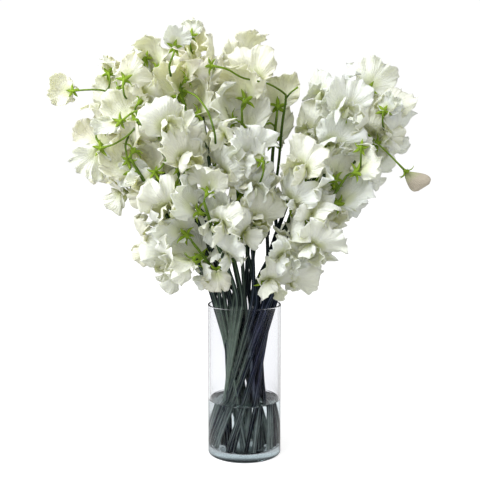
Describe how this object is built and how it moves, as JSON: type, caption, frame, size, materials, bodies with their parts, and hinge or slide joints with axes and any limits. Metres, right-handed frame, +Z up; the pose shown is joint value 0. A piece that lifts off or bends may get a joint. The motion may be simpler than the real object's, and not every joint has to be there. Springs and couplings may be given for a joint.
{
  "type": "vase of sweet pea flowers",
  "caption": "Full bunch of white sweet peas with green star-shaped calyxes, standing in water in a clear glass cylinder vase.",
  "frame": {"origin": "centre of the vase's flat foot, on the surface that it stands on", "axes": "+Z up along the vase's axis, +X to the right and -Y towards the viewer as pictured"},
  "size_m": [0.4438, 0.2516, 0.5253],
  "materials": {
    "glass": "clear, smooth and polished, with a thick foot",
    "water": "clear water with a still surface",
    "green": "fresh stems, dark green below and yellow-green at the flower stalks and calyxes, satin",
    "petal": "white to cream petals, soft, thin and translucent, with waved margins",
    "bud": "pale pinkish cream closed petals, soft"
  },
  "bodies": {
    "root": {"glass_vase": "glass", "water": "water", "stems_and_calyxes": "green", "spray_01_petals": "petal", "spray_02_petals": "petal", "spray_03_petals": "petal", "spray_04_petals": "petal", "spray_05_petals": "petal", "spray_06_petals": "petal", "spray_07_petals": "petal", "spray_08_petals": "petal", "spray_09_petals": "petal", "spray_10_petals": "petal", "spray_11_petals": "petal", "spray_12_petals": "petal", "spray_13_petals": "petal", "spray_14_petals": "petal", "spray_15_petals": "petal", "spray_16_petals": "petal", "spray_17_petals": "petal", "spray_18_petals": "petal", "spray_19_petals": "petal", "spray_19_petals_2": "petal", "spray_20_petals": "petal", "spray_21_petals": "petal", "spray_22_petals": "petal", "spray_23_petals": "petal", "spray_24_petals": "petal", "spray_25_petals": "petal", "spray_26_petals": "petal", "spray_27_petals": "petal", "spray_28_petals": "petal", "spray_29_petals": "petal", "spray_30_petals": "petal", "spray_31_petals": "petal", "spray_32_petals": "petal", "spray_33_petals": "petal", "spray_34_petals": "petal", "spray_35_petals": "petal", "spray_36_petals": "petal", "spray_37_petals": "petal", "spray_38_petals": "petal", "spray_38_petals_2": "petal", "spray_39_petals": "petal", "spray_40_petals": "petal", "spray_41_petals": "petal", "stray_flower_petals": "petal", "closed_bud": "bud"}
  },
  "joints": []
}
